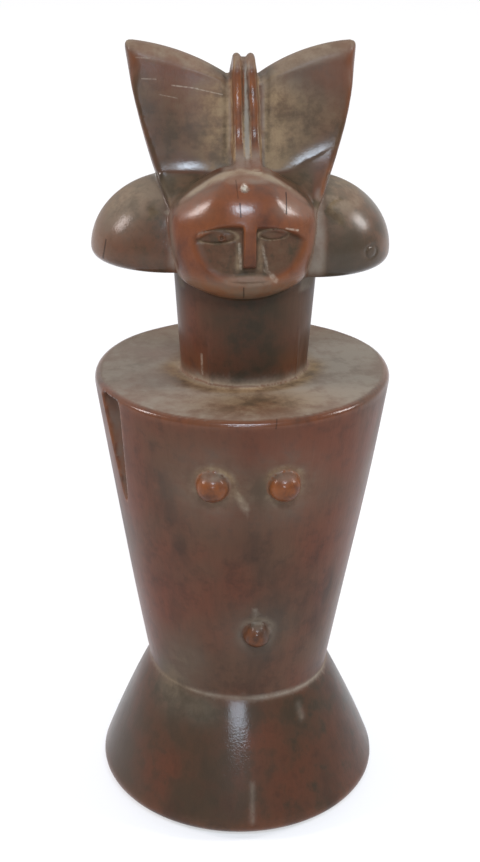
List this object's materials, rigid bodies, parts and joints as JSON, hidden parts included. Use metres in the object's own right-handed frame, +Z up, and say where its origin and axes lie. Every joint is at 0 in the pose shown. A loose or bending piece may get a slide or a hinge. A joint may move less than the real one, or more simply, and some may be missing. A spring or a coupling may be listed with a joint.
{
  "type": "carved protective figure",
  "caption": "Carved hardwood figure: flared foot, tapering torso with flat shoulder, round neck, small sunk face, round side lobes and two hollowed upright wings with thin crests between.",
  "frame": {"origin": "centre of the flat underside of the foot", "axes": "+Z up the figure's height, -Y the way the face looks, +X to the figure's own left"},
  "size_m": [0.0604, 0.0604, 0.1587],
  "materials": {
    "carved_wood": "worn polish, dark red-brown, with pale dust in the creases"
  },
  "bodies": {
    "root": {"figure": "carved_wood"}
  },
  "joints": []
}
